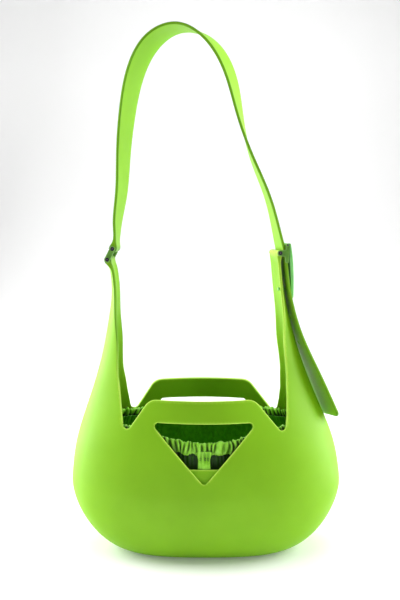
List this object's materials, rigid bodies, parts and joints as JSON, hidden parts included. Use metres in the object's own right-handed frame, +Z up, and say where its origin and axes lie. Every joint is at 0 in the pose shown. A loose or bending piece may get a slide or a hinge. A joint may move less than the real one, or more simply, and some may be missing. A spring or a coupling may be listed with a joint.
{
  "type": "fruit picking bag",
  "caption": "Moulded rubber shoulder bag with cut-out grab handles, a linked and clasped carrying strap, and an inner fabric pouch with a gathered elastic rim.",
  "frame": {"origin": "centre of the flat base, on the surface it stands on", "axes": "+Z up along the longest extent, +X towards the clasp side, -Y towards the front"},
  "size_m": [0.329, 0.1683, 0.6241],
  "materials": {
    "shell_rubber": "satin",
    "strap_rubber": "satin",
    "elastic": "matte",
    "pouch_fabric": "soft sheen",
    "painted_hardware": "gloss",
    "painted_plate": "gloss",
    "dark_screws": "dark"
  },
  "bodies": {
    "shell": {"shell": "shell_rubber", "strap": "strap_rubber", "retaining_band_front": "shell_rubber", "retaining_band_rear": "shell_rubber", "pouch_elastic": "elastic", "pouch_body": "pouch_fabric", "pouch_casing": "pouch_fabric", "pouch_tab_front": "pouch_fabric", "pouch_tab_rear": "pouch_fabric", "clasp_screws": "dark_screws", "clasp_arm_front": "painted_hardware", "clasp_arm_rear": "painted_hardware", "clasp_pin": "painted_hardware", "clasp_hinge_pin": "painted_hardware", "tab_snap_studs": "painted_hardware", "tab_snap_sockets": "painted_hardware"},
    "link": {"link_plate_front": "painted_hardware", "link_plate_rear": "painted_hardware", "link_lower_pin": "painted_hardware", "link_upper_pin": "painted_hardware", "link_screws": "dark_screws"},
    "clasp": {"clasp_plate": "painted_plate", "clasp_stud": "painted_plate"}
  },
  "joints": [
    {"name": "link_swing", "type": "hinge", "parent": "shell", "child": "link", "pos_m": [-0.1159, 0, 0.3514], "axis": [0, 1, 0], "range_deg": [-40, 40], "deforming": ["strap"]},
    {"name": "clasp_open", "type": "hinge", "parent": "shell", "child": "clasp", "pos_m": [0.09255, 0.00062, 0.3683], "axis": [0.1132, -0.9936, 0], "range_deg": [0, 100]}
  ]
}
